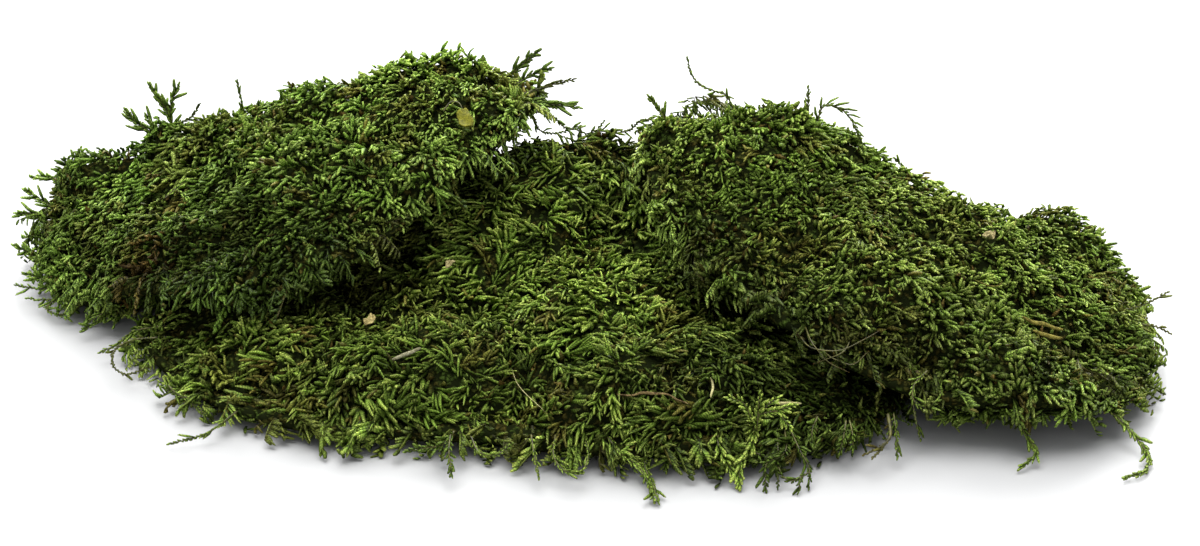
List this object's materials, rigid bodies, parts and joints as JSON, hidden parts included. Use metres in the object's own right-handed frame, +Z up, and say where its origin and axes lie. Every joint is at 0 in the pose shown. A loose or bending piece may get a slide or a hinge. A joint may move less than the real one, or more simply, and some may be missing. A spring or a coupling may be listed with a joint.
{
  "type": "moss clump",
  "caption": "Low heap of green feather moss: a flat mat with thicker mats laid over both its sides, wiry sprigs at the edges and dry litter caught on top.",
  "frame": {"origin": "middle of the heap's footprint, on the table that it lies on", "axes": "+X along the heap's length, to the right seen from the front, +Y to its back, +Z up"},
  "size_m": [0.3196, 0.1886, 0.0732],
  "materials": {
    "base_moss": "matte",
    "left_moss": "matte",
    "right_moss": "matte",
    "grey_wood": "matte",
    "straw_stem": "matte",
    "brown_bark": "matte",
    "golden_stalk": "matte",
    "dry_leaf": "matte"
  },
  "bodies": {
    "root": {"base_mat": "base_moss", "left_mat": "left_moss", "right_mat": "right_moss", "pale_stick": "grey_wood", "blond_needle": "straw_stem", "brown_stem": "brown_bark", "pale_stem": "straw_stem", "dry_stalk_1": "golden_stalk", "dry_stalk_2": "golden_stalk", "curled_stalk": "golden_stalk", "straw": "straw_stem", "leaf_scrap": "dry_leaf", "star_scrap": "dry_leaf", "pale_scrap": "dry_leaf", "yellow_leaf": "dry_leaf"}
  },
  "joints": []
}
